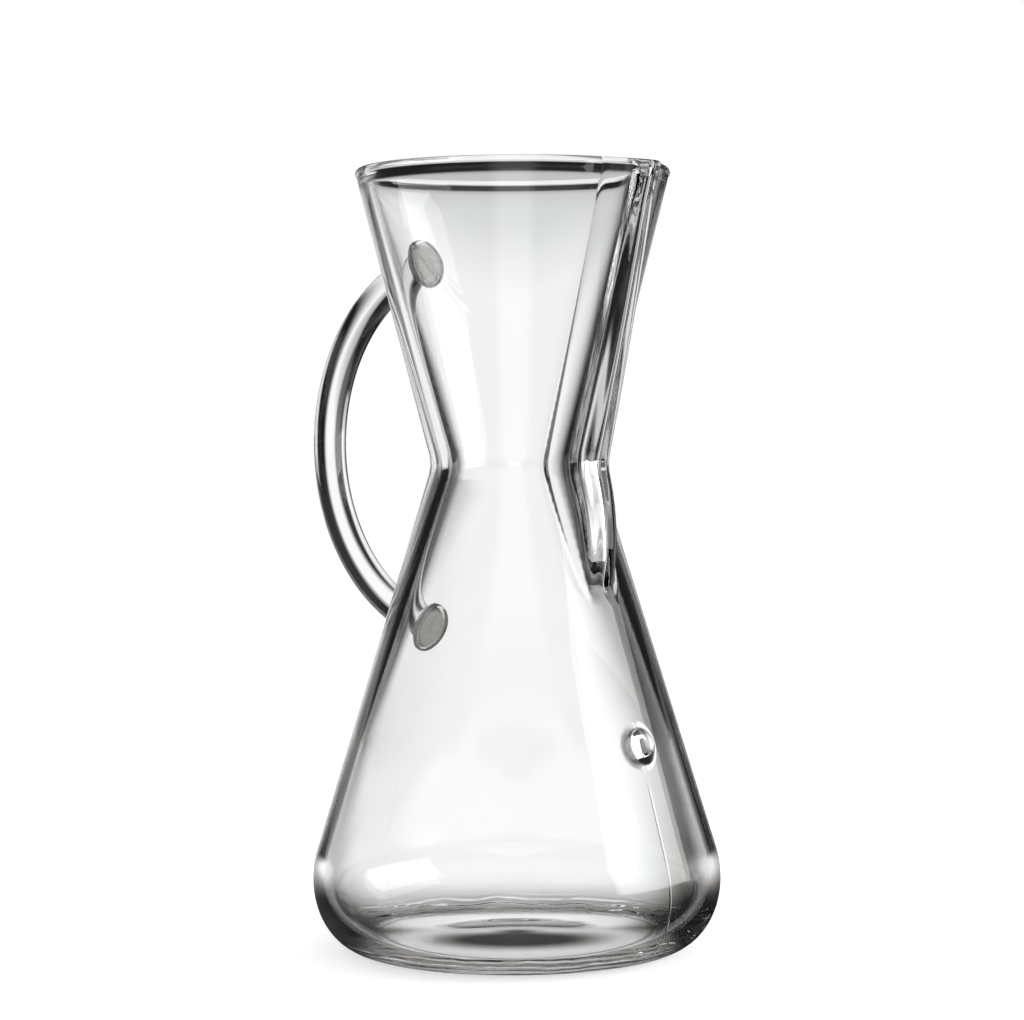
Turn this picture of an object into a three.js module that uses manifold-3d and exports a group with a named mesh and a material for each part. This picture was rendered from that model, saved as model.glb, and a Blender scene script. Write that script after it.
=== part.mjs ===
// Hourglass pour-over coffee maker in clear glass: a funnel and a flask blown as one wall, with a pouring
// channel pressed out of the front, a bent glass rod handle on two welds at the back, and a level button.
// Millimetres, +Z up. The vessel stands on z = 0, the channel faces +X and the handle faces -X.
import * as THREE from 'three';
import { mergeVertices } from 'three/addons/utils/BufferGeometryUtils.js';
import loadManifold from 'manifold-3d';

// Vessel, measured on its outer face
const HEIGHT = 204.5;
const RIM_RADIUS = 41.4;
const WAIST_RADIUS = 21.7;
const WAIST_HEIGHT = 127;
const WAIST_BEND = 3;
const BASE_RADIUS = 53.5;
const BASE_RADIUS_HEIGHT = 18.5;
const SHOULDER_BEND = 29;
const FOOT_RADIUS = 39;
const FOOT_WIDTH = 3;
const PUNT_RISE = 5;

// Glass thickness
const WALL = 2.8;
const FLOOR = 3.6;
const RIM_BEAD = 3.2;

// Pouring channel, pressed outwards from the rim to below the waist
const CHANNEL_WIDTH = 17.5;
const CHANNEL_WALL = 2.1;
const CHANNEL_WAIST_DEPTH = 8.6;
const CHANNEL_RIM_DEPTH = 6.6;
const CHANNEL_TAIL = 32;
const CHANNEL_CREASE = 2.4;
const CHANNEL_SQUARENESS = 3.6;
const CHANNEL_NOSE = 2;
const LIP_LENGTH = 12;
const LIP_FLARE = 0.9;
const LIP_DIP = 0.8;

// Handle: a bent rod whose two flared ends are held to the wall by pads of fused glass
const ROD_DIAMETER = 9;
const HANDLE_REACH = 76;
const RIM_TO_WELD_HEIGHT = 24.5;
const WAIST_TO_WELD_HEIGHT = 43;
const FLARE_DIAMETER = 11.5;
const FLARE_LENGTH = 4;
const WELD_DIAMETER = 13.5;
const WELD_THICKNESS = 2.4;

// Level button, a low dome of glass under the channel
const BUTTON_DIAMETER = 11;
const BUTTON_RISE = 3;
const BUTTON_HEIGHT = 56;

// Space left between pieces that are fused on the real object
const CLEARANCE = 0.3;

// Fineness of the meshes
const CHANNEL_COLUMNS = 18;
const WALL_COLUMNS = 32;
const ROUND_SIDES = 20;
const HANDLE_STEPS = 32;
const BEND_STEPS = 5;
const SHORT_BEND_STEPS = 3;
const TAIL_STEPS = 7;
const STRAIGHT_STEPS = 3;

const wasm = await loadManifold();
wasm.setup();

// Working values that follow from the sizes above
const columns = CHANNEL_COLUMNS + WALL_COLUMNS;
const rodRadius = ROD_DIAMETER / 2;
const flareRadius = FLARE_DIAMETER / 2;
const weldRadius = WELD_DIAMETER / 2;
const buttonRadius = BUTTON_DIAMETER / 2;
const channelTip = WAIST_HEIGHT - CHANNEL_TAIL;
const waist = new THREE.Vector2(WAIST_RADIUS, WAIST_HEIGHT);
const rim = new THREE.Vector2(RIM_RADIUS, HEIGHT);
const shoulderCentre = new THREE.Vector2(BASE_RADIUS - SHOULDER_BEND, BASE_RADIUS_HEIGHT);

// The flask's side is the straight line from the waist that just touches the shoulder's arc
const waistFromShoulder = waist.clone().sub(shoulderCentre);
const flaskAngle = waistFromShoulder.angle() - Math.acos(SHOULDER_BEND / waistFromShoulder.length());
const flaskFoot = onCircle(shoulderCentre, SHOULDER_BEND, flaskAngle);
const flaskUp = waist.clone().sub(flaskFoot).normalize();
const funnelUp = rim.clone().sub(waist).normalize();

function onCircle(centre, radius, angle) {
  return new THREE.Vector2(Math.cos(angle), Math.sin(angle)).multiplyScalar(radius).add(centre);
}

function alongLine(from, to, steps) {
  return Array.from({ length: steps + 1 }, (_, k) => from.clone().lerp(to, k / steps));
}

function alongEllipse(centre, halfWidth, halfHeight, startAngle, endAngle, steps) {
  return new THREE.EllipseCurve(centre.x, centre.y, halfWidth, halfHeight, startAngle, endAngle,
    endAngle < startAngle).getPoints(steps);
}

// Outer radius of the plain wall at a height, with the two cones meeting sharply at the waist
function wallRadius(height) {
  const up = height < WAIST_HEIGHT ? flaskUp : funnelUp;
  return WAIST_RADIUS + (height - WAIST_HEIGHT) * up.x / up.y;
}

function wallPoint(height) {
  return new THREE.Vector2(wallRadius(height), height);
}

// Outward direction of the plain wall at a height, in the plane of radius and height
function wallNormal(height) {
  const up = height < WAIST_HEIGHT ? flaskUp : funnelUp;
  return new THREE.Vector2(up.y, -up.x);
}

// Outer face from the middle of the underside up to the start of the rim bead
function outerProfile(bead) {
  const footInside = new THREE.Vector2(FOOT_RADIUS - FOOT_WIDTH, 0);
  const punt = Array.from({ length: BEND_STEPS }, (_, k) => {
    const share = k / BEND_STEPS;
    return new THREE.Vector2(footInside.x * share, PUNT_RISE * (1 + Math.cos(Math.PI * share)) / 2);
  });
  const heelCentre = new THREE.Vector2(FOOT_RADIUS, BASE_RADIUS_HEIGHT);
  const heelWidth = BASE_RADIUS - FOOT_RADIUS;
  const heel = alongEllipse(heelCentre, heelWidth, BASE_RADIUS_HEIGHT, -Math.PI / 2, 0, BEND_STEPS);
  const shoulder = alongEllipse(shoulderCentre, SHOULDER_BEND, SHOULDER_BEND, 0, flaskAngle,
    SHORT_BEND_STEPS);
  const tip = wallPoint(channelTip);
  const bendStart = waist.clone().addScaledVector(flaskUp, -WAIST_BEND);
  const bendEnd = waist.clone().addScaledVector(funnelUp, WAIST_BEND);
  const bend = new THREE.QuadraticBezierCurve(bendStart, waist, bendEnd).getPoints(SHORT_BEND_STEPS);
  return [
    ...punt, footInside, ...heel, ...shoulder.slice(1),
    ...alongLine(flaskFoot, tip, STRAIGHT_STEPS).slice(1),
    ...alongLine(tip, bendStart, TAIL_STEPS).slice(1),
    ...bend.slice(1),
    ...alongLine(bendEnd, bead[0], STRAIGHT_STEPS).slice(1),
  ];
}

// Fire-polished bead that rounds the rim, centred on the middle of the wall
function rimBead() {
  const radius = RIM_BEAD / 2;
  const normal = wallNormal(HEIGHT);
  const height = HEIGHT - radius;
  const centre = new THREE.Vector2(wallRadius(height) - WALL / 2 / normal.x, height);
  const reach = Math.acos(Math.min(1, WALL / RIM_BEAD));
  const startAngle = Math.atan2(normal.y, normal.x) - reach;
  const endAngle = startAngle + Math.PI + 2 * reach;
  return alongEllipse(centre, radius, radius, startAngle, endAngle, 2 * SHORT_BEND_STEPS);
}

// The same profile moved sideways: a positive amount moves each point out of the glass
function offsetProfile(profile, amountAt) {
  return profile.map((point, k) => {
    const before = profile[Math.max(0, k - 1)];
    const after = profile[Math.min(profile.length - 1, k + 1)];
    const along = after.clone().sub(before).normalize();
    const outward = k === 0 ? new THREE.Vector2(0, -1) : new THREE.Vector2(along.y, -along.x);
    return point.clone().addScaledVector(outward, amountAt(outward));
  });
}

function softMax(a, b, blend) {
  const overlap = Math.max(0, blend - Math.abs(a - b));
  return Math.max(a, b) + overlap * overlap / (4 * blend);
}

// How far the channel stands out of the wall, at an arc distance from its middle line
function channelRise(arc, height, halfWidth) {
  const above = Math.max(0, height - WAIST_HEIGHT) / (HEIGHT - WAIST_HEIGHT);
  const below = Math.max(0, WAIST_HEIGHT - height) / CHANNEL_TAIL;
  const depth = THREE.MathUtils.lerp(CHANNEL_WAIST_DEPTH, CHANNEL_RIM_DEPTH, above ** 2);
  const side = Math.abs(arc / halfWidth) ** CHANNEL_SQUARENESS;
  return softMax(depth * (1 - below ** CHANNEL_NOSE - side), 0, CHANNEL_CREASE);
}

// Angle of a column of the wall's mesh: close together across the channel, even round the rest
function columnAngle(column, height) {
  const span = CHANNEL_WIDTH / 2 + CHANNEL_CREASE;
  const edge = span / wallRadius(THREE.MathUtils.clamp(height, channelTip, HEIGHT));
  if (column <= CHANNEL_COLUMNS) return edge * (2 * column / CHANNEL_COLUMNS - 1);
  return edge + (2 * Math.PI - 2 * edge) * (column - CHANNEL_COLUMNS) / WALL_COLUMNS;
}

// Turn a plain lathe wall into the vessel's wall, with its pouring channel and lip
function pressChannel(lathe, profile, innerFrom) {
  const position = lathe.getAttribute('position');
  for (let k = 0; k < position.count; k++) {
    const column = Math.floor(k / profile.length) % columns;
    const row = k % profile.length;
    const { x: radius, y: height } = profile[row];
    const angle = columnAngle(column, height);
    const halfWidth = CHANNEL_WIDTH / 2 - (row >= innerFrom ? CHANNEL_WALL : 0);
    const around = Math.atan2(Math.sin(angle), Math.cos(angle));
    const rise = channelRise(around * radius, height, halfWidth);
    const lip = Math.max(0, 1 - (HEIGHT - height) / LIP_LENGTH) ** 2 * rise / CHANNEL_RIM_DEPTH;
    const reach = radius + rise + LIP_FLARE * lip;
    position.setXYZ(k, reach * Math.cos(angle), reach * Math.sin(angle), height - LIP_DIP * lip);
  }
  return lathe;
}

function solidOf(geometry) {
  const bare = geometry.clone();
  bare.deleteAttribute('normal');
  bare.deleteAttribute('uv');
  const merged = mergeVertices(bare, 1e-4);
  return new wasm.Manifold(new wasm.Mesh({
    numProp: 3,
    vertProperties: new Float32Array(merged.getAttribute('position').array),
    triVerts: new Uint32Array(merged.getIndex().array),
  }));
}

function geometryOf(solid) {
  const mesh = solid.getMesh();
  const geometry = new THREE.BufferGeometry();
  geometry.setAttribute('position', new THREE.BufferAttribute(mesh.vertProperties, 3));
  geometry.setIndex(new THREE.BufferAttribute(mesh.triVerts, 1));
  geometry.computeVertexNormals();
  return geometry;
}

// Move a lathe, whose axis is Y, so that its axis runs along a direction from a point
function placeLathe(geometry, point, direction) {
  const turn = new THREE.Quaternion().setFromUnitVectors(new THREE.Vector3(0, 1, 0), direction);
  return geometry.applyQuaternion(turn).translate(point.x, point.y, point.z);
}

function glass(name, geometry, color, roughness) {
  const material = new THREE.MeshStandardMaterial({ color, roughness, transparent: true, opacity: 0.35 });
  const mesh = new THREE.Mesh(geometry, material);
  mesh.name = name;
  return mesh;
}

// Vessel
const bead = rimBead();
const outer = outerProfile(bead);
const thickness = (normal) => WALL + (FLOOR - WALL) * normal.y ** 2;
const inner = offsetProfile(outer, (normal) => -thickness(normal)).slice(0, -1).reverse();
const vesselProfile = [...outer, ...bead.slice(1), ...inner];
const innerFrom = outer.length + bead.length / 2;
const vesselLathe = new THREE.LatheGeometry(vesselProfile, columns);
const vessel = geometryOf(solidOf(pressChannel(vesselLathe, vesselProfile, innerFrom)));

// Space that the welds and the button keep clear of: the plain vessel, filled and grown by the clearance
const grown = offsetProfile(outer, () => CLEARANCE);
const keepClear = solidOf(new THREE.LatheGeometry([...grown, new THREE.Vector2(0, grown.at(-1).y)], columns)
  .rotateX(Math.PI / 2));

// Handle: an arc through the two weld points and the outermost point, in the plane of the axis
const weldTop = wallPoint(HEIGHT - RIM_TO_WELD_HEIGHT);
const weldBottom = wallPoint(WAIST_HEIGHT - WAIST_TO_WELD_HEIGHT);
const outermost = new THREE.Vector2(HANDLE_REACH - rodRadius, (weldTop.y + weldBottom.y) / 2);
const arcCentre = circleCentre(weldTop, outermost, weldBottom);
const arcRadius = arcCentre.distanceTo(outermost);

function circleCentre(a, b, c) {
  const ab = b.clone().sub(a);
  const ac = c.clone().sub(a);
  const cross = 2 * ab.cross(ac);
  const x = (ac.y * ab.lengthSq() - ab.y * ac.lengthSq()) / cross;
  const y = (ab.x * ac.lengthSq() - ac.x * ab.lengthSq()) / cross;
  return new THREE.Vector2(x, y).add(a);
}

// The handle lies on the -X side, so a radius becomes a negative x
const behind = (point) => new THREE.Vector3(-point.x, 0, point.y);

class HandleArc extends THREE.Curve {
  constructor(startAngle, endAngle) {
    super();
    this.startAngle = startAngle;
    this.endAngle = endAngle;
  }

  getPoint(share, target = new THREE.Vector3()) {
    const angle = THREE.MathUtils.lerp(this.startAngle, this.endAngle, share);
    return target.copy(behind(onCircle(arcCentre, arcRadius, angle)));
  }
}

const topAngle = weldTop.clone().sub(arcCentre).angle();
const bottomAngle = weldBottom.clone().sub(arcCentre).angle() - 2 * Math.PI;
const turnFor = (length) => length / arcRadius;
const padTurn = turnFor(WELD_THICKNESS);
const flareEndTurn = turnFor(WELD_THICKNESS + CLEARANCE);
const rodEndTurn = turnFor(WELD_THICKNESS + CLEARANCE + FLARE_LENGTH / 2);

// Put a lathe on the handle's arc, at a turn back from the wall, with its axis along the arc towards the wall
function placeOnArc(profile, wallAngle, inwardTurn, backTurn) {
  const angle = wallAngle - inwardTurn * backTurn;
  const inward = new THREE.Vector2(-Math.sin(angle), Math.cos(angle)).multiplyScalar(inwardTurn);
  const lathe = new THREE.LatheGeometry(profile, ROUND_SIDES);
  return solidOf(placeLathe(lathe, behind(onCircle(arcCentre, arcRadius, angle)), behind(inward)));
}

// The end of the rod widens smoothly from the rod's own radius
function flaredEnd(wallAngle, inwardTurn) {
  const back = -FLARE_LENGTH;
  const swell = new THREE.CubicBezierCurve(
    new THREE.Vector2(rodRadius, back), new THREE.Vector2(rodRadius, back / 2),
    new THREE.Vector2(flareRadius, back / 2), new THREE.Vector2(flareRadius, 0)).getPoints(BEND_STEPS);
  const profile = [new THREE.Vector2(0, back), ...swell, new THREE.Vector2(0, 0)];
  return placeOnArc(profile, wallAngle, inwardTurn, flareEndTurn);
}

function bentHandle() {
  const section = new THREE.Shape().absarc(0, 0, rodRadius, 0, 2 * Math.PI);
  const rod = new THREE.ExtrudeGeometry(section, {
    extrudePath: new HandleArc(topAngle - rodEndTurn, bottomAngle + rodEndTurn),
    steps: HANDLE_STEPS,
    curveSegments: ROUND_SIDES / 2,
    bevelEnabled: false,
  });
  return geometryOf(solidOf(rod).add(flaredEnd(topAngle, 1)).add(flaredEnd(bottomAngle, -1)));
}

// A weld is a round pad between the flared end and the wall, cut to the wall
function weld(wallAngle, inwardTurn) {
  const root = WELD_THICKNESS + WALL;
  const profile = [
    new THREE.Vector2(0, 0), new THREE.Vector2(weldRadius, 0),
    new THREE.Vector2(weldRadius, root), new THREE.Vector2(0, root),
  ];
  return geometryOf(placeOnArc(profile, wallAngle, inwardTurn, padTurn).subtract(keepClear));
}

// The button is a low dome whose skirt is cut to the wall
function levelButton() {
  const dome = alongEllipse(new THREE.Vector2(0, 0), buttonRadius, BUTTON_RISE, 0, Math.PI / 2, BEND_STEPS);
  const profile = [new THREE.Vector2(0, -WALL), new THREE.Vector2(buttonRadius, -WALL), ...dome];
  const normal = wallNormal(BUTTON_HEIGHT);
  const seat = new THREE.Vector3(wallRadius(BUTTON_HEIGHT), 0, BUTTON_HEIGHT);
  const lathe = placeLathe(new THREE.LatheGeometry(profile, ROUND_SIDES), seat,
    new THREE.Vector3(normal.x, 0, normal.y));
  return geometryOf(solidOf(lathe).subtract(keepClear));
}

const maker = new THREE.Group();
maker.add(
  glass('glass_vessel', vessel, 0xe6ecea, 0.03),
  glass('handle', bentHandle(), 0xdfe6e4, 0.03),
  glass('upper_handle_weld', weld(topAngle, 1), 0xdcdfdc, 0.2),
  glass('lower_handle_weld', weld(bottomAngle, -1), 0xdcdfdc, 0.2),
  glass('level_button', levelButton(), 0xe2e8e4, 0.05),
);

// The origin lies on the foot, at the middle of the whole object's footprint
const footprint = new THREE.Box3().setFromObject(maker);
maker.position.x = -(footprint.min.x + footprint.max.x) / 2;

export default maker;
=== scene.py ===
# %% [markdown]
# # An hourglass pour-over coffee maker in clear glass
#
# The real object is blown and pressed glass throughout: a funnel and a flask that share one wall, a bent
# glass rod as a handle, two pads of fused glass that hold the rod, and a small drop of glass that marks a
# level. Clear glass is all edges and reflections, so this lesson spends its effort on three things: true wall
# thickness, smooth surfaces, and a studio that gives the glass something dark and something bright to show.

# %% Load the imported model
from math import acos, atan2, cos, hypot, pi, radians, sin, tau

import bpy
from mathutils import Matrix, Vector


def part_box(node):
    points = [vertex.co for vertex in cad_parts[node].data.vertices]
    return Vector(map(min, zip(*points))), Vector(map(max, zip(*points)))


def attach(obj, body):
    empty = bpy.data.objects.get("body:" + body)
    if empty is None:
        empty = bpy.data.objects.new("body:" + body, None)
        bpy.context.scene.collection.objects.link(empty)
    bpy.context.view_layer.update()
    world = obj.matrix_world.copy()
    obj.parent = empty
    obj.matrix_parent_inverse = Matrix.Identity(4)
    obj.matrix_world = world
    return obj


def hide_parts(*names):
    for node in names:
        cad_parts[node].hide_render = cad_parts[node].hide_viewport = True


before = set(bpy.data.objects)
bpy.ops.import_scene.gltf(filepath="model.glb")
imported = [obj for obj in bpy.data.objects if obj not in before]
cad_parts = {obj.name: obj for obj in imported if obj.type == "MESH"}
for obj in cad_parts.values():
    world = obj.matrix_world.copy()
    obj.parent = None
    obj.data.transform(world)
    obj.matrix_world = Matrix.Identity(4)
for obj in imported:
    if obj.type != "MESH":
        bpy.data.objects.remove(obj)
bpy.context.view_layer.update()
print("nodes:", ", ".join(sorted(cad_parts)))

# %% [markdown]
# ## Where things stand
#
# Everything here is measured from the vessel's own axis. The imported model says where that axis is: the vessel
# is round, so its box is as wide on the left of the axis as on the right. Lengths are in metres, and MM keeps
# the small ones readable.

# %% The vessel's axis and main sizes, from the frame
MM = 0.001
UP = Vector((0, 0, 1))
vessel_low, vessel_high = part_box("glass_vessel")
handle_low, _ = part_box("handle")
AXIS = Vector(((vessel_low.x + vessel_high.x) / 2, 0, 0))
HEIGHT = vessel_high.z
BASE_RADIUS = (vessel_high.y - vessel_low.y) / 2
HANDLE_REACH = AXIS.x - handle_low.x
print(f"axis at x = {AXIS.x / MM:.2f} mm, height {HEIGHT / MM:.1f}, base radius {BASE_RADIUS / MM:.1f}, "
      f"handle reach {HANDLE_REACH / MM:.1f}")

# %% [markdown]
# ## The camera
#
# The photo looks at the maker from slightly above its waist, through a long lens, with the pouring channel
# turned to the right. The distance and the lens come from the rim's and the foot's ellipses: how open each
# one looks says how high the camera is above it, and their difference says how far away the camera stands.

# %% Camera at the photo's viewing angle
PHOTO_WIDTH = 1024
SENSOR_WIDTH = 36
CAMERA_AZIMUTH = radians(44)
CAMERA_DISTANCE = 0.760
CAMERA_HEIGHT = 0.137
CAMERA_PITCH = radians(-1.65)
CAMERA_PAN = radians(0.05)
CAMERA_ROLL = radians(-0.37)
FOCAL_LENGTH_IN_PIXELS = 2898


def towards(azimuth, elevation=0):
    """A direction away from the vessel. Azimuth 0 is -Y, and it grows towards the pouring channel."""
    return Vector((sin(azimuth) * cos(elevation), -cos(azimuth) * cos(elevation), sin(elevation)))


bpy.ops.object.select_all(action="DESELECT")
bpy.ops.object.camera_add(location=AXIS + towards(CAMERA_AZIMUTH) * CAMERA_DISTANCE + UP * CAMERA_HEIGHT,
                          rotation=(pi / 2 + CAMERA_PITCH, 0, CAMERA_AZIMUTH + CAMERA_PAN))
camera = bpy.context.object
camera.rotation_euler.rotate_axis("Z", CAMERA_ROLL)
camera.data.sensor_width = SENSOR_WIDTH
camera.data.lens = SENSOR_WIDTH * FOCAL_LENGTH_IN_PIXELS / PHOTO_WIDTH
bpy.context.scene.camera = camera
print(f"camera {CAMERA_DISTANCE:.2f} m from the axis with a {camera.data.lens:.0f} mm lens")

# %% [markdown]
# ## Shader maths as plain sums
#
# A node tree that mixes a few noises soon needs dozens of Math nodes. The class below wraps one socket, so
# that `1 - mask * 0.4` is written as a sum and the nodes appear by themselves. Everything else, such as a
# noise or a ramp, comes from one method: the node's type, its settings, then its inputs.

# %% A wire: one socket that can be used in sums
class Wire:
    def __init__(self, tree, socket=None):
        self.tree = tree
        self.socket = socket

    def node(self, kind, settings=None, inputs=None, output=0):
        made = self.tree.nodes.new(kind)
        for name, value in (settings or {}).items():
            if name == "stops":
                set_stops(made.color_ramp, value)
            else:
                setattr(made, name, value)
        for key, value in (inputs or {}).items():
            if isinstance(value, Wire):
                self.tree.links.new(made.inputs[key], value.socket)
            else:
                made.inputs[key].default_value = value
        return Wire(self.tree, made.outputs[output] if made.outputs else None)

    def math(self, operation, *values):
        return self.node("ShaderNodeMath", {"operation": operation}, dict(enumerate(values)))

    def __add__(self, other):
        return self.math("ADD", self, other)

    def __radd__(self, other):
        return self.math("ADD", other, self)

    def __sub__(self, other):
        return self.math("SUBTRACT", self, other)

    def __rsub__(self, other):
        return self.math("SUBTRACT", other, self)

    def __mul__(self, other):
        return self.math("MULTIPLY", self, other)

    def __rmul__(self, other):
        return self.math("MULTIPLY", other, self)

    def __truediv__(self, other):
        return self.math("DIVIDE", self, other)

    def __rtruediv__(self, other):
        return self.math("DIVIDE", other, self)

    def blend(self, first, second):
        """A colour that runs from the first to the second as this wire goes from 0 to 1."""
        return self.node("ShaderNodeMix", {"data_type": "RGBA"}, {0: self, 6: first, 7: second}, output=2)

    def ramp(self, stops):
        return self.node("ShaderNodeValToRGB", {"stops": stops}, {0: self})

    def parts(self):
        """The three numbers of a vector."""
        split = self.node("ShaderNodeSeparateXYZ", inputs={0: self}).socket.node
        return [Wire(self.tree, output) for output in split.outputs]

    def step(self, low, high):
        """0 below low, 1 above high, and a smooth rise between them. It falls if low is above high."""
        return self.node("ShaderNodeMapRange", {"interpolation_type": "SMOOTHSTEP"},
                         {"Value": self, "From Min": low, "From Max": high})


def set_stops(ramp, stops):
    while len(ramp.elements) < len(stops):
        ramp.elements.new(1)
    for element, (place, colour) in zip(ramp.elements, stops):
        element.position = place
        element.color = colour


def fresh_tree(owner):
    """An empty node tree for a material or the world, as a wire to build on."""
    owner.use_nodes = True
    owner.node_tree.nodes.clear()
    return Wire(owner.node_tree)


# %% [markdown]
# ## The studio
#
# Clear glass in front of white all round would vanish. Photographers put a white panel behind the glass and
# keep its surroundings dark: through the middle of the glass the panel shows, and near the outline, where the
# wall bends the light sideways, the dark surroundings show as a dark edge. Real cards could do that, but they
# would stand in the way of other views. So the world does it: a panel is a range of directions, one lies
# behind the maker in the photo's view, and others serve the back and the sides. Only what the glass bends or
# mirrors sees them. The camera sees plain white, and matt surfaces get an even light.

# %% Helpers for light that depends on place or direction
def grey(level):
    return (level, level, level, 1)


def follow(value, stops):
    """A level that follows pairs of a place and a level, with the places counted from 0."""
    last = stops[-1][0]
    return (value / last).ramp([(place / last, grey(level)) for place, level in stops])


def flat_length(x, y):
    return x.math("SQRT", x * x + y * y)


def turn_of(x, y):
    return x.math("ARCTAN2", y, x)


def beside(turn, middle):
    """How far a direction is turned from the middle of a panel."""
    return turn.math("ABSOLUTE", turn.math("WRAP", turn - middle, pi, -pi))


def brightest(levels):
    level = levels[0]
    for other in levels[1:]:
        level = level.math("MAXIMUM", level, other)
    return level


def seen_by_glass(tree):
    """1 for what glass or gloss shows to the camera, 0 for the light that falls on a matt surface."""
    path = tree.node("ShaderNodeLightPath").socket.node
    mirrored, bent, scattered = [Wire(tree.tree, path.outputs[kind]) for kind in
                                 ("Is Glossy Ray", "Is Transmission Ray", "Diffuse Depth")]
    return tree.math("MAXIMUM", mirrored, bent) * tree.math("LESS_THAN", scattered, 0.5)


# %% Where the panels are
# Each panel has its middle, the end of its white, the start of the dark and its top in degrees, and then its
# strength.
PANELS = (
    (138, 7, 16, 20, 1),
    (150, 6, 26, 20, 0.25),
    (315, 6, 15, 20, 1),
    (90, 5, 13, 6, 0.85),
    (180, 5, 13, 6, 1),
)
TOP_SOFTNESS = 1
# A height in degrees, and how bright the panels are there.
PANEL_HEIGHTS = ((0, 1), (0.8, 1), (1.5, 0.9), (2.2, 0.78), (4.5, 0.6), (7, 0.5), (8, 0.36), (9, 0.1),
                 (10, 0.01), (15, 0))
# The room behind the camera: its strength, and the degrees between which it fades in.
ROOM_FILL = 0.55
ROOM_SIDES = (85, 50)
ROOM_HEIGHTS = (6, 14)


def rising(angle):
    """The z of a direction that rises by so many degrees."""
    return sin(radians(angle))


def panel_light(turn, z):
    panels = []
    for middle, white, dark, top, strength in PANELS:
        across = beside(turn, radians(middle)).step(radians(dark), radians(white))
        below = z.step(rising(top + TOP_SOFTNESS), rising(top - TOP_SOFTNESS))
        panels.append(across * below * strength)
    return brightest(panels) * follow(z, [(rising(angle), level) for angle, level in PANEL_HEIGHTS])


def room_light(turn, z):
    """The lit room behind the camera, which the front of the glass mirrors faintly."""
    aside = beside(turn, CAMERA_AZIMUTH - pi / 2).step(*[radians(angle) for angle in ROOM_SIDES])
    return aside * z.step(*[rising(angle) for angle in ROOM_HEIGHTS]) * ROOM_FILL


print(len(PANELS), "panels for the glass")

# %% World: white for the camera, panels for the glass, an even light for the rest
WHITE = grey(1)
AMBIENT = grey(0.8)
STUDIO_COLOURS = (
    (0, grey(0.013)),
    (0.3, (0.3, 0.288, 0.275, 1)),
    (0.75, (0.74, 0.745, 0.752, 1)),
    (1, WHITE),
)

world = bpy.data.worlds.new("white_studio")
bpy.context.scene.world = world
tree = fresh_tree(world)
x, y, z = tree.node("ShaderNodeTexCoord", output="Generated").parts()
by_camera = tree.node("ShaderNodeLightPath", output="Is Camera Ray")
turn = turn_of(x, y)
level = brightest([panel_light(turn, z), room_light(turn, z)])
around = seen_by_glass(tree).blend(AMBIENT, level.ramp(STUDIO_COLOURS))
background = tree.node("ShaderNodeBackground", inputs={
    "Color": by_camera.blend(around, WHITE), "Strength": 1})
tree.node("ShaderNodeOutputWorld", inputs={"Surface": background})
print("world nodes:", len(world.node_tree.nodes))

# %% [markdown]
# ## The floor
#
# The floor is a plain pale disc. To the camera it glows almost white, so that it runs into the background,
# and its matt share keeps the maker's soft shadow. Seen through the glass, an even white floor would leave
# the base flat and empty. So for the glass the panels run on across the floor as strips, painted shade
# darkens the floor round the foot, with thin painted rings of light and shade, and a soft dark patch is
# painted under the base. That patch is a painted reflection: it stands in for the dark surroundings that the
# real base mirrors.

# %% What the glass sees on the floor
# Each strip has its middle, the end of its white and the start of the dark in degrees, then in metres what is
# added to the white and to the dark width and the distances where it starts and is full, and last its strength.
STRIPS = (
    (138, 6, 15, 0.03, 0.05, 0, 0.01, 1),
    (315, 5, 14, 0.03, 0.05, 0, 0.01, 1),
    (90, 4.5, 12.5, 0.02, 0.045, 0.06, 0.28, 0.85),
    (180, 4.5, 12.5, 0.02, 0.045, 0.07, 0.32, 1),
    (80, 14, 26, 0, 0, 0.2, 0.6, 0.45),
)
# A distance from the axis in metres, and how bright the floor is there for the glass: painted shade round
# the foot, with thin painted rings of light and shade that the foot bends into lines.
PAINTED_FOOT_SHADE = ((0, 1), (0.03, 1), (0.0355, 0.9), (0.0363, 0.25), (0.037, 0.3), (0.0374, 0.9), (0.0386, 0.8),
             (0.0395, 0.2), (0.045, 0.27), (0.06, 0.48), (0.08, 0.78), (0.095, 0.93), (0.12, 1), (0.17, 1))
# The painted dark patch, a painted reflection of dark surroundings: its shift towards the camera, half its
# length and half its depth, and its soft edge.
PAINTED_DARK_PATCH = (0.013, 0.028, 0.015)
DARK_PATCH_EDGE = (0.45, 1.15)
DARK_PATCH_LIMIT = (0.036, 0.0365)


def strip_light(turn, away):
    strips = []
    for middle, white, dark, white_more, dark_more, start, full, strength in STRIPS:
        aside = beside(turn, radians(middle)) * away
        edge = aside.step(radians(dark) * away + dark_more, radians(white) * away + white_more)
        strips.append(edge * away.step(start, full) * strength)
    return brightest(strips)


def painted_dark_patch(x, y, away):
    """0 in the painted dark patch under the base, a painted reflection of dark surroundings, and 1 round it."""
    shift, half_length, half_depth = PAINTED_DARK_PATCH
    near = x * sin(CAMERA_AZIMUTH) - y * cos(CAMERA_AZIMUTH)
    aside = x * cos(CAMERA_AZIMUTH) + y * sin(CAMERA_AZIMUTH)
    patch = flat_length(aside / half_length, (near - shift) / half_depth).step(*DARK_PATCH_EDGE)
    return brightest([patch, away.step(*DARK_PATCH_LIMIT)])


print(len(STRIPS), "strips on the floor for the glass")

# %% The floor disc
FLOOR_RADIUS = 2.5
FLOOR_SIDES = 96
FLOOR_DROP = 0.05 * MM
FLOOR_GLOW = 0.42
FLOOR_COLOUR = grey(0.86)

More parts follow.
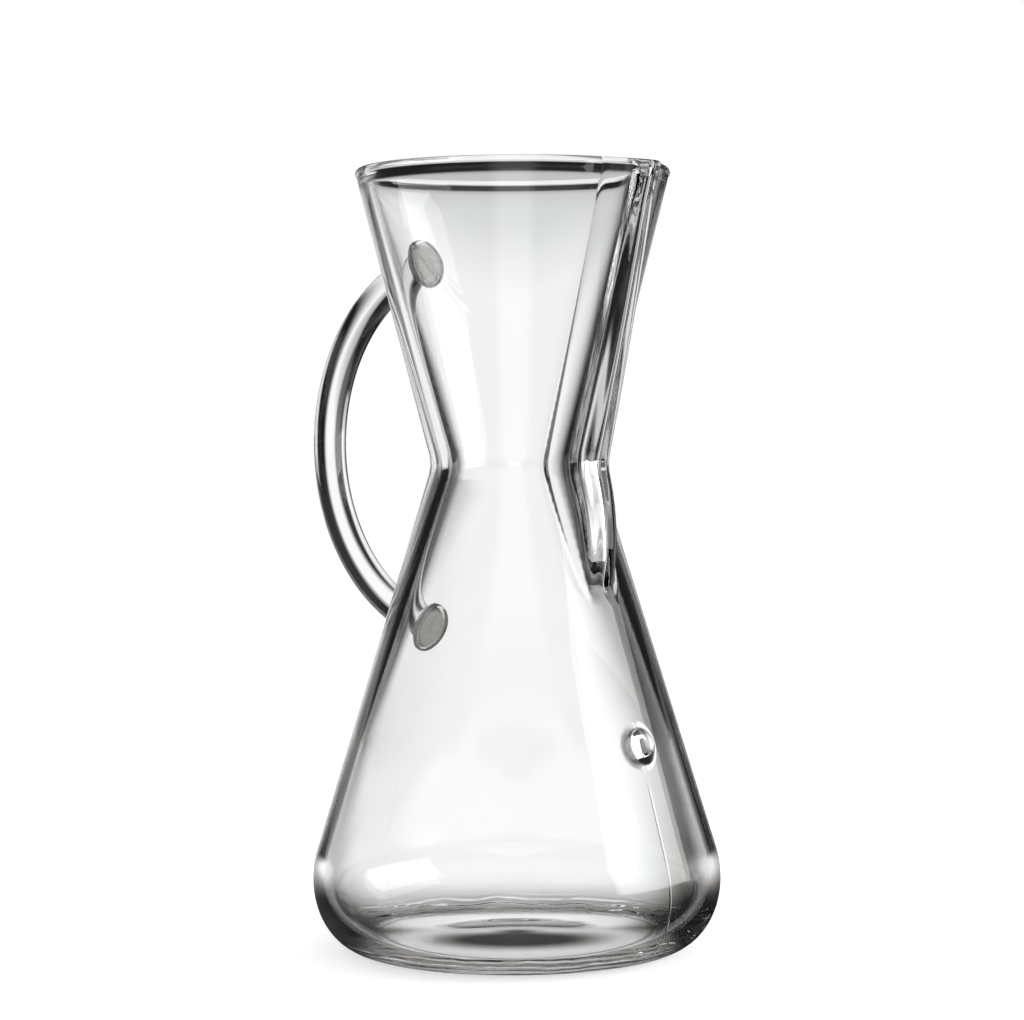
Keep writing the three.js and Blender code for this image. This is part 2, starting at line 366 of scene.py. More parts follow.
bpy.ops.mesh.primitive_circle_add(vertices=FLOOR_SIDES, radius=FLOOR_RADIUS, fill_type="NGON",
                                  location=AXIS - UP * FLOOR_DROP)
floor = bpy.context.object
floor.name = "floor"
floor_material = bpy.data.materials.new("pale_floor")
tree = fresh_tree(floor_material)
x, y, _ = tree.node("ShaderNodeTexCoord", output="Object").parts()
by_camera = tree.node("ShaderNodeLightPath", output="Is Camera Ray")
by_glass = seen_by_glass(tree)
away = flat_length(x, y)
# The glass sees the strips, darkened by the painted shade round the foot and the painted dark patch under the
# base.
level = follow(away, PAINTED_FOOT_SHADE) * strip_light(turn_of(x, y), away) * painted_dark_patch(x, y, away)
matt = tree.node("ShaderNodeBsdfDiffuse", inputs={"Color": FLOOR_COLOUR})
glowing = tree.node("ShaderNodeEmission", inputs={
    "Color": by_camera.blend(level.ramp(STUDIO_COLOURS), WHITE),
    "Strength": by_camera * FLOOR_GLOW + by_glass})
shared = tree.node("ShaderNodeAddShader", inputs={0: matt, 1: glowing})
surface = tree.node("ShaderNodeMixShader", inputs={0: by_glass, 1: shared, 2: glowing})
tree.node("ShaderNodeOutputMaterial", inputs={"Surface": surface})
floor.data.materials.append(floor_material)
print("floor disc", FLOOR_RADIUS, "m in radius")

# %% [markdown]
# ## The vessel's outline
#
# A blown and moulded vessel is a turned shape, so it starts as one line: half of its section. The flask's
# side is the straight line from the waist that just touches the round shoulder, the heel is a quarter of an
# ellipse, the base is pushed up in the middle, and the rim ends in a fire-polished bead. The inner line is
# the outer one moved inwards by the wall, which is thickest at the waist. At the bottom it has its own low
# dome and its own heel, because there the glass works as a lens, and an even wall would bend the light too
# little.

# %% Sizes of the vessel
RIM_RADIUS = 41.4 * MM
WAIST_RADIUS = 21.7 * MM
WAIST_HEIGHT = 127 * MM
WAIST_BEND = 3 * MM
BASE_RADIUS_HEIGHT = 18.5 * MM
SHOULDER_BEND = 29 * MM

waist = Vector((WAIST_RADIUS, WAIST_HEIGHT))
rim = Vector((RIM_RADIUS, HEIGHT))
shoulder_centre = Vector((BASE_RADIUS - SHOULDER_BEND, BASE_RADIUS_HEIGHT))
to_waist = waist - shoulder_centre
flask_angle = atan2(to_waist.y, to_waist.x) - acos(SHOULDER_BEND / to_waist.length)
flask_foot = shoulder_centre + SHOULDER_BEND * Vector((cos(flask_angle), sin(flask_angle)))
flask_up = (waist - flask_foot).normalized()
funnel_up = (rim - waist).normalized()


def wall_radius(height):
    up = flask_up if height < WAIST_HEIGHT else funnel_up
    return WAIST_RADIUS + (height - WAIST_HEIGHT) * up.x / up.y


print(f"flask leaves the shoulder at {flask_foot.y / MM:.1f} mm, {flask_foot.x / MM:.1f} mm from the axis")


# %% Lines, ellipses and bends as rows of points
def along_line(start, end, steps):
    return [start.lerp(end, k / steps) for k in range(steps + 1)]


def along_ellipse(centre, half_width, half_height, start, end, steps):
    angles = [start + (end - start) * k / steps for k in range(steps + 1)]
    return [centre + Vector((half_width * cos(a), half_height * sin(a))) for a in angles]


def along_bend(start, corner, end, steps):
    shares = [k / steps for k in range(steps + 1)]
    return [start.lerp(corner, t).lerp(corner.lerp(end, t), t) for t in shares]


# %% The outer line and the rim bead
WALL = 2.8 * MM
RIM_BEAD = 3.2 * MM
FOOT_RADIUS = 39 * MM
FOOT_WIDTH = 1 * MM
PUNT_RISE = 2 * MM
PUNT_RADIUS = 25 * MM
BEAD_STEPS = 16
BASE_STEPS = 32
HEEL_STEPS = 22
SHOULDER_STEPS = 14
SIDE_STEPS = 38
BEND_STEPS = 8
FUNNEL_STEPS = 30


def rim_bead():
    normal = Vector((funnel_up.y, -funnel_up.x))
    height = HEIGHT - RIM_BEAD / 2
    centre = Vector((wall_radius(height) - WALL / 2 / normal.x, height))
    reach = acos(WALL / RIM_BEAD)
    start = atan2(normal.y, normal.x) - reach
    return along_ellipse(centre, RIM_BEAD / 2, RIM_BEAD / 2, start, start + pi + 2 * reach, BEAD_STEPS)


def dome_share(radius):
    return (1 + cos(pi * min(1, radius / PUNT_RADIUS))) / 2


def outer_line(bead_start):
    radii = [(FOOT_RADIUS - FOOT_WIDTH) * k / BASE_STEPS for k in range(BASE_STEPS + 1)]
    base = [Vector((radius, PUNT_RISE * dome_share(radius))) for radius in radii]
    heel = along_ellipse(Vector((FOOT_RADIUS, BASE_RADIUS_HEIGHT)), BASE_RADIUS - FOOT_RADIUS,
                         BASE_RADIUS_HEIGHT, -pi / 2, 0, HEEL_STEPS)
    shoulder = along_ellipse(shoulder_centre, SHOULDER_BEND, SHOULDER_BEND, 0, flask_angle, SHOULDER_STEPS)
    bend_start = waist - WAIST_BEND * flask_up
    bend_end = waist + WAIST_BEND * funnel_up
    side = along_line(flask_foot, bend_start, SIDE_STEPS)
    bend = along_bend(bend_start, waist, bend_end, BEND_STEPS)
    funnel = along_line(bend_end, bead_start, FUNNEL_STEPS)
    return base + heel + shoulder[1:] + side[1:] + bend[1:] + funnel[1:]


bead = rim_bead()
outer = outer_line(bead[0])
print(len(outer), "points in the outer line")

# %% The inner line
FLOOR_THICKNESS = 2.7 * MM
FLOOR_DOME = 1.2 * MM
INNER_HEEL = 36.5 * MM
WAIST_THICKENING = 2.2 * MM
WAIST_SPREAD = 70 * MM
HEEL_START = BASE_STEPS + 1
HEEL_END = HEEL_START + HEEL_STEPS + 1


def inner_line(outer):
    inner = []
    for k, point in enumerate(outer):
        before, after = outer[max(0, k - 1)], outer[min(len(outer) - 1, k + 1)]
        along = (after - before).normalized()
        outward = Vector((along.y, -along.x))
        thickness = WALL + (FLOOR_THICKNESS - WALL) * outward.y ** 2
        thickness += WAIST_THICKENING * max(0, 1 - abs(point.y - WAIST_HEIGHT) / WAIST_SPREAD)
        inner.append(point - outward * thickness)
    for k in range(HEEL_START):
        radius = outer[k].x * INNER_HEEL / FOOT_RADIUS
        inner[k] = Vector((radius, FLOOR_THICKNESS + FLOOR_DOME * dome_share(radius)))
    inner[HEEL_START:HEEL_END] = along_ellipse(
        Vector((INNER_HEEL, BASE_RADIUS_HEIGHT)), BASE_RADIUS - WALL - INNER_HEEL,
        BASE_RADIUS_HEIGHT - FLOOR_THICKNESS, -pi / 2, 0, HEEL_STEPS)
    return inner


section = outer + bead[1:] + inner_line(outer)[-2::-1]
print(len(section), "points in the section line")

# %% [markdown]
# ## Turning the wall
#
# By hand this is a lathe job: take one vertex, extrude it along the section line, then turn the line about
# the axis. Spin would do it, but it slows down as the mesh grows, so the Screw modifier does the turning. The
# pouring channel needs much finer steps than the rest of the wall, most of all where its sides are, so copies
# of the line each turn through one zone, with the steps that the zone needs, and are then joined. Merging the
# doubled points closes the seams and the poles, and recalculating the normals turns the faces outwards on
# both sides of the glass.

# %% Helpers for edit mode
MERGE_DISTANCE = 0.0005 * MM


def start_piece(name):
    """Names the primitive that was just added, puts its place into its mesh and opens it in edit mode."""
    piece = bpy.context.object
    piece.name = name
    piece.data.name = name
    bpy.ops.object.transform_apply(location=True, rotation=True, scale=True)
    bpy.ops.object.mode_set(mode="EDIT")
    bpy.ops.mesh.select_mode(type="VERT")
    bpy.ops.mesh.select_all(action="SELECT")
    return piece


def close_mesh():
    """Merges doubled points, turns faces outwards and leaves edit mode."""
    bpy.ops.mesh.select_all(action="SELECT")
    bpy.ops.mesh.remove_doubles(threshold=MERGE_DISTANCE)
    bpy.ops.mesh.normals_make_consistent(inside=False)
    bpy.ops.object.mode_set(mode="OBJECT")


def apply_modifier(piece, kind, **settings):
    modifier = piece.modifiers.new(kind.lower(), kind)
    for name, value in settings.items():
        setattr(modifier, name, value)
    bpy.context.view_layer.objects.active = piece
    bpy.ops.object.modifier_apply(modifier=modifier.name)


def describe(piece):
    box = [round(length / MM, 2) for length in piece.dimensions]
    print(piece.name, len(piece.data.vertices), "points, box", box, "mm")


# %% Trace the section line
path = [Vector((point.x, 0, point.y)) for point in section]
bpy.ops.object.select_all(action="DESELECT")
bpy.ops.mesh.primitive_plane_add(size=MM)
line = start_piece("section_line")
bpy.ops.mesh.merge(type="CENTER")
bpy.ops.transform.translate(value=path[0])
for here, there in zip(path, path[1:]):
    bpy.ops.mesh.extrude_vertices_move(TRANSFORM_OT_translate={"value": there - here})
bpy.ops.object.mode_set(mode="OBJECT")
describe(line)

# %% Turn it, zone by zone
# Each zone has its start and its end in degrees from the channel's middle, and its number of steps.
TURNS = ((-32, -27, 8), (-27, -9, 72), (-9, 9, 24), (9, 27, 72), (27, 32, 8), (32, 328, 118))
CHANNEL_HALF_TURN = radians(32)

walls = []
for start, end, steps in TURNS:
    bpy.ops.object.select_all(action="DESELECT")
    line.select_set(True)
    bpy.context.view_layer.objects.active = line
    bpy.ops.object.duplicate()
    wall = bpy.context.object
    wall.rotation_euler.z = radians(start)
    bpy.ops.object.transform_apply(rotation=True)
    apply_modifier(wall, "SCREW", angle=radians(end - start), steps=steps, render_steps=steps, screw_offset=0)
    walls.append(wall)
bpy.data.objects.remove(line)
for wall in walls:
    wall.select_set(True)
vessel = walls[-1]
bpy.context.view_layer.objects.active = vessel
bpy.ops.object.join()
vessel.name = "vessel"
vessel.data.name = "vessel"
vessel.location = AXIS
bpy.ops.object.transform_apply(location=True)
bpy.ops.object.mode_set(mode="EDIT")
close_mesh()
describe(vessel)

# %% [markdown]
# ## Pressing the pouring channel
#
# On the real maker a tool pushes the soft wall outwards along one line, from the rim to below the waist,
# where the channel runs out in a rounded nose. Here the Displace modifier is that tool: a vertex group says
# how far each point is pushed, and a second one lets the lip droop. The crease between the channel and the
# wall is rounded by blending the two surfaces, and the inner wall gets a narrower channel, so that the glass
# keeps its thickness.

# %% How far the channel stands out
CHANNEL_WIDTH = 17.5 * MM
CHANNEL_WALL = 2.1 * MM
CHANNEL_WAIST_DEPTH = 8.6 * MM
CHANNEL_RIM_DEPTH = 6.6 * MM
CHANNEL_TAIL = 32 * MM
CHANNEL_CREASE = 0.9 * MM
CHANNEL_SQUARENESS = 3.6


def soft_max(a, b, blend):
    overlap = max(0, blend - abs(a - b))
    return max(a, b) + overlap * overlap / (4 * blend)


def channel_rise(arc, height, half_width):
    above = max(0, height - WAIST_HEIGHT) / (HEIGHT - WAIST_HEIGHT)
    below = max(0, WAIST_HEIGHT - height) / CHANNEL_TAIL
    depth = CHANNEL_WAIST_DEPTH + (CHANNEL_RIM_DEPTH - CHANNEL_WAIST_DEPTH) * above ** 2
    side = abs(arc / half_width) ** CHANNEL_SQUARENESS
    return soft_max(depth * (1 - below ** 2 - side), 0, CHANNEL_CREASE)


print(f"channel stands out {channel_rise(0, WAIST_HEIGHT, CHANNEL_WIDTH / 2) / MM:.2f} mm at the waist")

# %% Weigh the points and push them
CHANNEL_REACH = CHANNEL_WAIST_DEPTH + CHANNEL_CREASE
INSIDE_STARTS = 0.1
LIP_LENGTH = 12 * MM
LIP_FLARE = 0.9 * MM
LIP_DIP = 0.8 * MM

pushed = vessel.vertex_groups.new(name="channel")
drooping = vessel.vertex_groups.new(name="lip")
for vertex in vessel.data.vertices:
    place = vertex.co - AXIS
    angle = atan2(place.y, place.x)
    if abs(angle) > CHANNEL_HALF_TURN or place.z < WAIST_HEIGHT - 2 * CHANNEL_TAIL:
        continue
    radius = hypot(place.x, place.y)
    inside = min(1, max(0, (wall_radius(place.z) - radius) / WALL - INSIDE_STARTS))
    half_width = CHANNEL_WIDTH / 2 - CHANNEL_WALL * inside
    rise = channel_rise(angle * radius, place.z, half_width)
    lip = max(0, 1 - (HEIGHT - place.z) / LIP_LENGTH) ** 2 * rise / CHANNEL_RIM_DEPTH
    if rise > 0:
        pushed.add([vertex.index], (rise + LIP_FLARE * lip) / CHANNEL_REACH, "REPLACE")
    if lip > 0:
        drooping.add([vertex.index], lip, "REPLACE")

apply_modifier(vessel, "DISPLACE", direction="X", vertex_group="channel", mid_level=0, strength=CHANNEL_REACH)
apply_modifier(vessel, "DISPLACE", direction="Z", vertex_group="lip", mid_level=0, strength=-LIP_DIP)
bpy.ops.object.shade_smooth()
describe(vessel)

# %% [markdown]
# ## The handle
#
# The handle is a solid rod, heated and bent into an arc, and its ends are flared where they were pressed to
# the wall. A sweep along a curve would do, but spin is simpler, because the arc is part of a circle: a ring
# of points is spun about the arc's centre, a little at a time through the flares, with a change of size at
# each step, and then all at once along the rod.

# %% The arc that the rod follows
ROD_RADIUS = 4.5 * MM
RIM_TO_WELD = 24.5 * MM
WAIST_TO_WELD = 43 * MM


def circle_centre(a, b, c):
    ab, ac = b - a, c - a
    cross = 2 * (ab.x * ac.y - ab.y * ac.x)
    across = (ac.y * ab.length_squared - ab.y * ac.length_squared) / cross
    upward = (ab.x * ac.length_squared - ac.x * ab.length_squared) / cross
    return a + Vector((across, upward))


def behind(point):
    """A radius and a height, as a place on the handle's side of the axis."""
    return Vector((AXIS.x - point.x, 0, point.y))


def arc_angle(point):
    return atan2(point.y - arc_centre.y, point.x - arc_centre.x)


def on_arc(angle):
    return behind(arc_centre + arc_radius * Vector((cos(angle), sin(angle))))


def along_arc(angle):
    """Direction of the arc towards its upper end."""
    return Vector((sin(angle), 0, cos(angle)))


upper_height = HEIGHT - RIM_TO_WELD
lower_height = WAIST_HEIGHT - WAIST_TO_WELD
upper_end = Vector((wall_radius(upper_height), upper_height))
lower_end = Vector((wall_radius(lower_height), lower_height))
outermost = Vector((HANDLE_REACH - ROD_RADIUS, (upper_height + lower_height) / 2))
arc_centre = circle_centre(upper_end, outermost, lower_end)
arc_radius = (outermost - arc_centre).length
upper_angle, lower_angle = arc_angle(upper_end), arc_angle(lower_end)
print(f"rod bent to a radius of {arc_radius / MM:.1f} mm")

# %% Spin the rod, with a flare at each end
FLARE_RADIUS = 5.75 * MM
FLARE_LENGTH = 4 * MM
WELD_THICKNESS = 2.4 * MM
SEAM = -0.02 * MM
ROD_SIDES = 64
ROD_STEPS = 160
FLARE_STEPS = 8


def flare_radius(share):
    """The rod's radius through a flare: 0 at the rod, 1 at the wall."""
    return ROD_RADIUS + (FLARE_RADIUS - ROD_RADIUS) * share ** 2 * (3 - 2 * share)


def spin_ring(angle, steps=1):
    bpy.ops.mesh.spin(steps=steps, angle=angle, center=behind(arc_centre), axis=(0, -1, 0))


def spin_flare(angle, shares):
    """Spins one step for each share of the flare after the first, and gives the angle where it ends."""
    for here, there in zip(shares, shares[1:]):
        spin_ring(-flare_turn / FLARE_STEPS)
        angle -= flare_turn / FLARE_STEPS
        factor = flare_radius(there) / flare_radius(here)
        bpy.ops.transform.resize(value=(factor, factor, factor), center_override=on_arc(angle))
    return angle


end_turn = (WELD_THICKNESS + SEAM) / arc_radius
flare_turn = FLARE_LENGTH / arc_radius
opening = [k / FLARE_STEPS for k in range(FLARE_STEPS + 1)]
closing = [1 - share for share in opening]
start_angle = upper_angle - end_turn
finish_angle = lower_angle + end_turn
bpy.ops.object.select_all(action="DESELECT")
bpy.ops.mesh.primitive_circle_add(vertices=ROD_SIDES, radius=FLARE_RADIUS, location=on_arc(start_angle),
                                  rotation=along_arc(start_angle).to_track_quat("Z", "Y").to_euler())
rod = start_piece("handle_rod")
rod_start = spin_flare(start_angle, closing)
rod_end = finish_angle + flare_turn
spin_ring(rod_end - rod_start, ROD_STEPS)
spin_flare(rod_end, opening)
bpy.ops.mesh.select_all(action="SELECT")
bpy.ops.mesh.fill_holes(sides=0)
close_mesh()
describe(rod)

# %% [markdown]
# ## The welds
#
# Each weld is a thick pad of glass, squeezed flat between the rod and the wall. A flattened ball would be
# quicker, but its edge would not lie on the wall. So a disc is extruded into a pad and inset on the wall's
# side, which gives the face there enough points to be wrapped onto the round wall by a Shrinkwrap modifier. A
# bevel then rounds the edge, as melting does. The rod's ends get the same bevel.

# %% Round pads, wrapped onto the wall
WELD_RADIUS = 6.75 * MM
WELD_ROUND = 0.8 * MM
ROUND_SEGMENTS = 5
ROUND_EDGES = radians(50)
SMOOTH_EDGES = radians(40)
WRAP_ROOM = 0.3 * MM
PAD_SIDES = 72
PAD_RINGS = 9


def soften(piece):
    apply_modifier(piece, "BEVEL", width=WELD_ROUND, segments=ROUND_SEGMENTS, limit_method="ANGLE",
                   angle_limit=ROUND_EDGES)
    bpy.ops.object.shade_smooth_by_angle(angle=SMOOTH_EDGES)


def wrap_onto_vessel(piece):
    apply_modifier(piece, "SHRINKWRAP", target=vessel, vertex_group="wall_face", wrap_method="PROJECT",
                   use_project_x=True, use_positive_direction=True, use_negative_direction=True, offset=SEAM)


def weld_pad(name, wall_angle, inward):
    """A pad at one end of the arc. Inward is 1 where the arc meets the wall with a rising angle, else -1."""
    back_angle = wall_angle - inward * WELD_THICKNESS / arc_radius
    direction = inward * along_arc(back_angle)
    centre = on_arc(back_angle)
    bpy.ops.object.select_all(action="DESELECT")
    bpy.ops.mesh.primitive_circle_add(vertices=PAD_SIDES, radius=WELD_RADIUS, fill_type="NGON",
                                      location=centre,
                                      rotation=direction.to_track_quat("Z", "Y").to_euler())
    pad = start_piece(name)
    depth = WELD_THICKNESS - WRAP_ROOM
    bpy.ops.mesh.extrude_region_move(TRANSFORM_OT_translate={"value": direction * depth})
    bpy.ops.mesh.select_mode(type="FACE")
    for _ in range(PAD_RINGS):
        bpy.ops.mesh.inset(thickness=WELD_RADIUS / (PAD_RINGS + 1))
    bpy.ops.mesh.select_mode(type="VERT")
    close_mesh()
    face = pad.vertex_groups.new(name="wall_face")
    for vertex in pad.data.vertices:
        if (vertex.co - centre).dot(direction) > depth / 2:
            face.add([vertex.index], 1, "REPLACE")
    wrap_onto_vessel(pad)
    soften(pad)
    describe(pad)
    return pad


upper_pad = weld_pad("upper_weld", upper_angle, 1)
lower_pad = weld_pad("lower_weld", lower_angle, -1)
bpy.ops.object.select_all(action="DESELECT")
rod.select_set(True)
soften(rod)
describe(rod)

# %% [markdown]
# ## The level button
#
# A drop of soft glass on the flask marks a filling level. It spreads into a low mound with a steeper cap, and
# the cap sits a little to one side, as it fell. A squashed ball would be too even, so a thin disc with many
# rings is wrapped onto the wall, and a vertex group lifts its upper side along its normals by the sum of the
# mound and the cap.

# %% A thin disc on the flask
BUTTON_RADIUS = 6.6 * MM
BUTTON_HEIGHT = 56 * MM
DISC_THICKNESS = 0.01 * MM
DOME_RINGS = 18
MIDDLE_RING = 0.5

button_normal = Vector((flask_up.y, 0, -flask_up.x))
button_middle = AXIS + Vector((wall_radius(BUTTON_HEIGHT), 0, BUTTON_HEIGHT))
bpy.ops.object.select_all(action="DESELECT")
bpy.ops.mesh.primitive_circle_add(vertices=PAD_SIDES, radius=BUTTON_RADIUS, fill_type="NGON",
                                  location=button_middle,
                                  rotation=button_normal.to_track_quat("Z", "Y").to_euler())
button = start_piece("level_drop")
bpy.ops.mesh.select_mode(type="FACE")
for _ in range(DOME_RINGS):
    bpy.ops.mesh.inset(thickness=BUTTON_RADIUS / (DOME_RINGS + MIDDLE_RING))
bpy.ops.mesh.select_all(action="SELECT")
bpy.ops.mesh.extrude_region_move(TRANSFORM_OT_translate={"value": button_normal * DISC_THICKNESS})
bpy.ops.mesh.select_mode(type="VERT")
close_mesh()
describe(button)

# %% Lift its upper side into a mound with a cap
BUTTON_RISE = 2.8 * MM
CAP_RADIUS = 4.4 * MM
CAP_ASIDE = 1.2 * MM
CAP_SHARE = 0.6
CAP_STEEPNESS = 0.8
SMOOTH_DROP = radians(60)


def drop_rise(place, share):
    """How far the drop rises, as a share of its whole rise."""
    mound = max(0, 1 - share ** 2) ** 2
    cap = hypot(place.y - CAP_ASIDE, place.z) / CAP_RADIUS
    return (1 - CAP_SHARE) * mound + CAP_SHARE * max(0, 1 - cap ** 2) ** CAP_STEEPNESS


disc = button.vertex_groups.new(name="wall_face")
dome = button.vertex_groups.new(name="dome")
for vertex in button.data.vertices:
    disc.add([vertex.index], 1, "REPLACE")
    place = vertex.co - button_middle
    height = place.dot(button_normal)
    if height > DISC_THICKNESS / 2:
        share = (place - button_normal * height).length / BUTTON_RADIUS
        dome.add([vertex.index], drop_rise(place, share), "REPLACE")
wrap_onto_vessel(button)
apply_modifier(button, "DISPLACE", direction="NORMAL", vertex_group="dome", mid_level=0, strength=BUTTON_RISE)
bpy.ops.object.shade_smooth_by_angle(angle=SMOOTH_DROP)
describe(button)

# %% [markdown]
# ## Clear glass
#
# The glass is clear and thick enough to show a faint grey-green cast. It isn't perfect: the wall is a little
# wavy from the mould, and hands and cloths leave a breath of haze above the heel. Blender's plain glass
# shader would give much the same, but the Principled shader with full transmission is the one that the export
# bakes and other programs read. The haze goes into its roughness and the waves into its bump.

# %% Clear glass with a trace of handling
GLASS_IOR = 1.47
WAVINESS = 0.02
HAZE = 0.05
HAZE_HEIGHTS = (15 * MM, 40 * MM)


def object_place(tree):
    return tree.node("ShaderNodeTexCoord", output="Object")


def noise(place, scale, detail=2, roughness=0.5):
    return place.node("ShaderNodeTexNoise", inputs={
        "Vector": place, "Scale": scale, "Detail": detail, "Roughness": roughness})


def relief_of(height):
    """A normal from a height in mm."""
    return height.node("ShaderNodeBump", inputs={"Height": height, "Strength": 1, "Distance": MM})


def clear_glass(name, tint, relief=None):
    """Glass with a tint, faint waves, a breath of haze and, if given, its own relief in mm."""
    material = bpy.data.materials.new(name)
    tree = fresh_tree(material)
    place = object_place(tree)
    wave = noise(place, 45, 1, 0.4)
    smear = noise(place, 60, 6, 0.6).step(0.55, 0.8) * place.parts()[2].step(*HAZE_HEIGHTS)
    height = wave * WAVINESS
    if relief:
        height = height + relief(place)
    shader = tree.node("ShaderNodeBsdfPrincipled", inputs={
        "Base Color": wave.step(0.35, 0.65).blend(tint, WHITE), "Roughness": smear * HAZE,
        "Normal": relief_of(height), "IOR": GLASS_IOR, "Transmission Weight": 1})
    tree.node("ShaderNodeOutputMaterial", inputs={"Surface": shader})
    print(name, "nodes:", len(material.node_tree.nodes))
    return material


# %% [markdown]
# ## Relief of the vessel
#
# The mould leaves a fine seam up the front and the back of the flask's lower part, the foot shows rings where
# it was pressed and scuffs from standing on tables, and the floor inside is a little lumpy. All of this is
# about a tenth of a millimetre high, too fine for the mesh, so it is a sum of waves and noises that goes into
# the bump. Seam, rings and scuffs are only on the outside, and a curve of the wall's middle radius tells
# outside from inside.

# %% Mould seams, foot rings, scuffs and an uneven floor
RELIEF_HEIGHTS = (0, 0.5, 1.5, 3, 5, 8, 12, 18.5, 25, 32, 40, 60, 90, 127, 165, 200)
OUTSIDE_EDGE = 0.4 * MM
SEAM_HALF_WIDTH = 0.5 * MM
RING_PITCH = 1.6 * MM
RING_WANDER = 12
WORN_SIDE = (-0.72, -0.69)
SEAM_MM, RINGS_MM, SCUFF_MM, LUMPS_MM = 0.05, 0.16, 0.1, 0.08


def radius_on(line, height):
    side = [point for point in line[HEEL_START:] if point.y > 0]
    for here, there in zip(side, side[1:]):
        if here.y <= height <= there.y:
            return here.x + (there.x - here.x) * (height - here.y) / (there.y - here.y)
    return side[-1].x if height > side[-1].y else side[0].x


def outside_of_wall(away, z):
    """1 on the outer face of the wall, 0 on the inner one."""
    middles = [(height * MM, radius_on(outer, height * MM) - WALL / 2) for height in RELIEF_HEIGHTS]
    shares = [(height, radius / BASE_RADIUS) for height, radius in middles]
    return (away - follow(z, shares) * BASE_RADIUS).step(-OUTSIDE_EDGE, OUTSIDE_EDGE)


def vessel_relief(place):
    x, y, z = place.parts()
    x = x - AXIS.x
    away = flat_length(x, y)
    outside = outside_of_wall(away, z)
    seam = y.math("ABSOLUTE", y).step(SEAM_HALF_WIDTH, 0) * z.step(48 * MM, 42 * MM)
    rings = x.math("SINE", z * (tau / RING_PITCH) + noise(place, 70) * RING_WANDER) * z.step(6 * MM, 2.5 * MM)
    patch = noise(place, 55, 3).step(0.48, 0.6) * z.step(3.5 * MM, 1.5 * MM)
    worn = ((x * WORN_SIDE[0] + y * WORN_SIDE[1]) / away).step(0.9, 0.98) * z.step(14 * MM, 8 * MM)
    scuff = noise(place, 1500, 3).step(0.5, 0.72) * brightest([patch, worn])
    lumps = noise(place, 40, 1) * z.step(9 * MM, 6 * MM) * away.step(42 * MM, 34 * MM)
    return outside * (seam * SEAM_MM + rings * RINGS_MM + scuff * SCUFF_MM) + lumps * LUMPS_MM


# %% [markdown]
# ## Cloudy glass for the welds
#
# Where the rod was melted to the wall, small bubbles make the middle of each pad milky, and its rim stays
# clear. A volume of fog would be true to life, but slow and noisy for so small a piece. So clear glass and a
# pale, rough surface are mixed by the distance from the weld's middle.

# %% Glass that is milky in the middle
CORE_EDGE = (0.95 * WELD_RADIUS, 0.6 * WELD_RADIUS)
MILKY_LEAST = 0.08
MILKY_DARK, MILKY_PALE = (0.8, 0.8, 0.75, 1), (0.98, 0.98, 0.95, 1)
CLOUD_MM, GRIT_MM = 0.2, 0.12


def cloudy_glass(name, tint, middles):
    material = bpy.data.materials.new(name)
    tree = fresh_tree(material)
    place = object_place(tree)
    distances = [tree.node("ShaderNodeVectorMath", {"operation": "DISTANCE"}, {0: place, 1: middle},
                           output="Value") for middle in middles]
    core = tree.math("MINIMUM", *distances).step(*CORE_EDGE)
    cloud = noise(place, 300, 4, 0.7)
    grit = noise(place, 1300, 2)
    normal = relief_of(cloud * CLOUD_MM + grit * core * GRIT_MM)
    clear = tree.node("ShaderNodeBsdfPrincipled", inputs={
        "Base Color": cloud.step(0.3, 0.7).blend(tint, WHITE), "Roughness": core * cloud * 0.3,
        "Normal": normal, "IOR": GLASS_IOR, "Transmission Weight": 1})
    milky = tree.node("ShaderNodeBsdfPrincipled", inputs={
        "Base Color": (cloud * 0.5 + grit * 0.5).step(0.4, 0.6).blend(MILKY_DARK, MILKY_PALE),
        "Roughness": 0.4, "Normal": normal, "IOR": GLASS_IOR})
    share = core * cloud.step(0.1, 0.4) * (1 - MILKY_LEAST) + MILKY_LEAST
    surface = tree.node("ShaderNodeMixShader", inputs={0: share, 1: clear, 2: milky})
    tree.node("ShaderNodeOutputMaterial", inputs={"Surface": surface})
    print(name, "nodes:", len(material.node_tree.nodes))
    return material


# %% [markdown]
# ## The four glasses
#
# All of the maker is one kind of glass, but thick glass looks deeper in colour than thin. One material with a
# fog of colour inside could do that, but a tint for each piece is simpler and survives the export: the wall
# is almost white, the rod a little green, and the button and the welds a little warmer.

# %% One glass for each kind of piece
vessel_glass = clear_glass("vessel_glass", (0.99, 0.995, 0.993, 1), vessel_relief)
rod_glass = clear_glass("rod_glass", (0.975, 0.985, 0.98, 1))
weld_glass = cloudy_glass("weld_glass", (0.96, 0.97, 0.955, 1), (behind(upper_end), behind(lower_end)))
button_glass = clear_glass("button_glass", (0.97, 0.975, 0.955, 1))

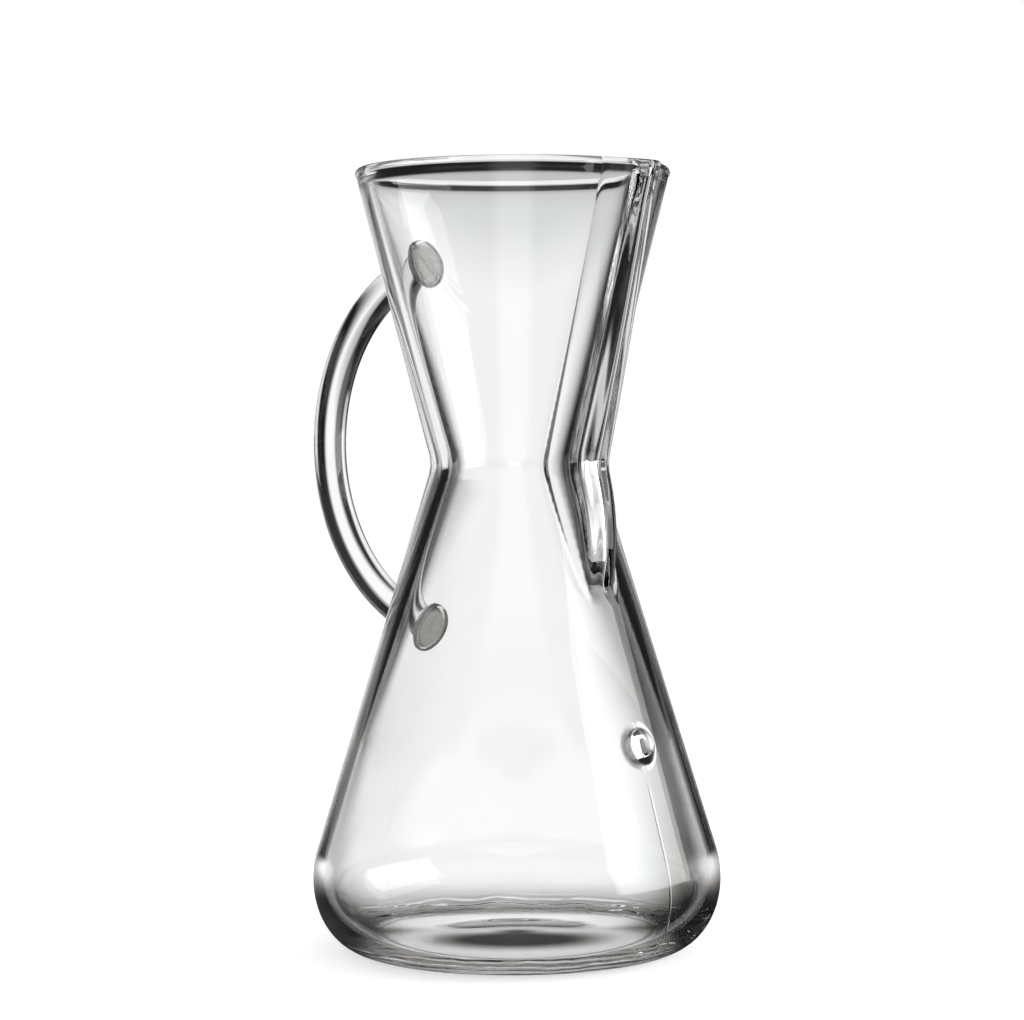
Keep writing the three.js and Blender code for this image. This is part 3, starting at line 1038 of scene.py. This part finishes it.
# %% [markdown]
# ## The lamp
#
# One large soft box stands to the right of the camera. The flask's front shows it as a bright strip on the
# right, and the funnel's back wall, which is hollow towards the camera, shows it again on the left. A panel
# of the world could give a reflection too, but a lamp has a true distance and also lights the floor. It is
# hidden from the camera.

# %% A soft box
BOX_AZIMUTH = CAMERA_AZIMUTH + radians(84)
BOX_ELEVATION = radians(13)
BOX_DISTANCE = 0.9
BOX_WIDTH, BOX_HEIGHT = 0.94, 0.64
BOX_POWER = 5

to_box = towards(BOX_AZIMUTH, BOX_ELEVATION)
bpy.ops.object.light_add(type="AREA", location=AXIS + UP * HEIGHT / 2 + to_box * BOX_DISTANCE,
                         rotation=to_box.to_track_quat("Z", "Y").to_euler())
lamp = bpy.context.object
lamp.name = "right_box"
lamp.data.shape = "RECTANGLE"
lamp.data.size = BOX_WIDTH
lamp.data.size_y = BOX_HEIGHT
lamp.data.energy = BOX_POWER
lamp.visible_camera = False
print(lamp.name, "lamp", BOX_POWER, "W")

# %% [markdown]
# ## Handing the pieces over
#
# Each piece gets its glass and rides on a body, and the node of the solid model that it stands for is
# hidden. Nothing on this maker moves, so everything rides on the root.

# %% Dress the pieces and hand them to the frame
for piece, material, slot, node in (
        (vessel, vessel_glass, "vessel_glass", "glass_vessel"),
        (rod, rod_glass, "rod_glass", "handle"),
        (upper_pad, weld_glass, "weld_glass", "upper_handle_weld"),
        (lower_pad, weld_glass, "weld_glass", "lower_handle_weld"),
        (button, button_glass, "button_glass", "level_button")):
    piece.data.materials.clear()
    piece.data.materials.append(material)
    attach(piece, "root")
    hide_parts(node)
    piece.data.calc_loop_triangles()
    print(piece.name, len(piece.data.loop_triangles), "triangles")

# %% [markdown]
# ## Render settings
#
# Light that crosses the maker passes the glass's surface many times, and where the count of bounces runs out,
# the glass turns black. So more bounces are allowed than usual. The view transform is the plain one, which
# keeps white white.

# %% Bounces that glass needs
scene = bpy.context.scene
scene.view_settings.view_transform = "Standard"
scene.cycles.max_bounces = 32
scene.cycles.transmission_bounces = 32
scene.cycles.glossy_bounces = 16
print("bounces:", scene.cycles.max_bounces)
